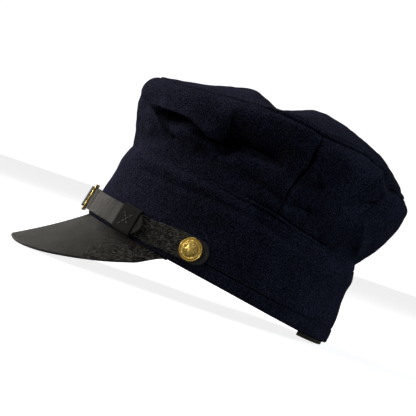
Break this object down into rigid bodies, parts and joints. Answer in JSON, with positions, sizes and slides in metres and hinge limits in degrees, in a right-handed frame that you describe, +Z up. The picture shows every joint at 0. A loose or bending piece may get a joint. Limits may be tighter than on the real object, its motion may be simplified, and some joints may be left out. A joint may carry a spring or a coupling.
{
  "type": "peaked cap",
  "caption": "Soft peaked cap of navy wool with an upright band, puffed crown, black leather peak and chin strap, brass slide buckle and domed side buttons.",
  "frame": {"origin": "middle of the bounding box in plan, at floor height", "axes": "+Z up, front (peak) toward -Y, the wearer's left toward +X; the cap rests on its peak and the back of its rim"},
  "size_m": [0.1864, 0.276, 0.1633],
  "materials": {
    "crown_wool": "matt napped wool, navy",
    "band_wool": "matt napped wool, navy",
    "sweat_leather": "dark, dull",
    "peak_leather": "black, soft sheen, fine grain",
    "strap_leather": "black, soft sheen, creased",
    "brass": "polished, lightly worn"
  },
  "bodies": {
    "root": {"crown_top": "crown_wool", "crown_front": "crown_wool", "crown_back": "crown_wool", "band": "band_wool", "sweatband": "sweat_leather", "peak": "peak_leather", "strap_left": "strap_leather", "strap_right": "strap_leather", "keeper": "strap_leather", "buckle": "brass", "button_left": "brass", "button_right": "brass"}
  },
  "joints": []
}
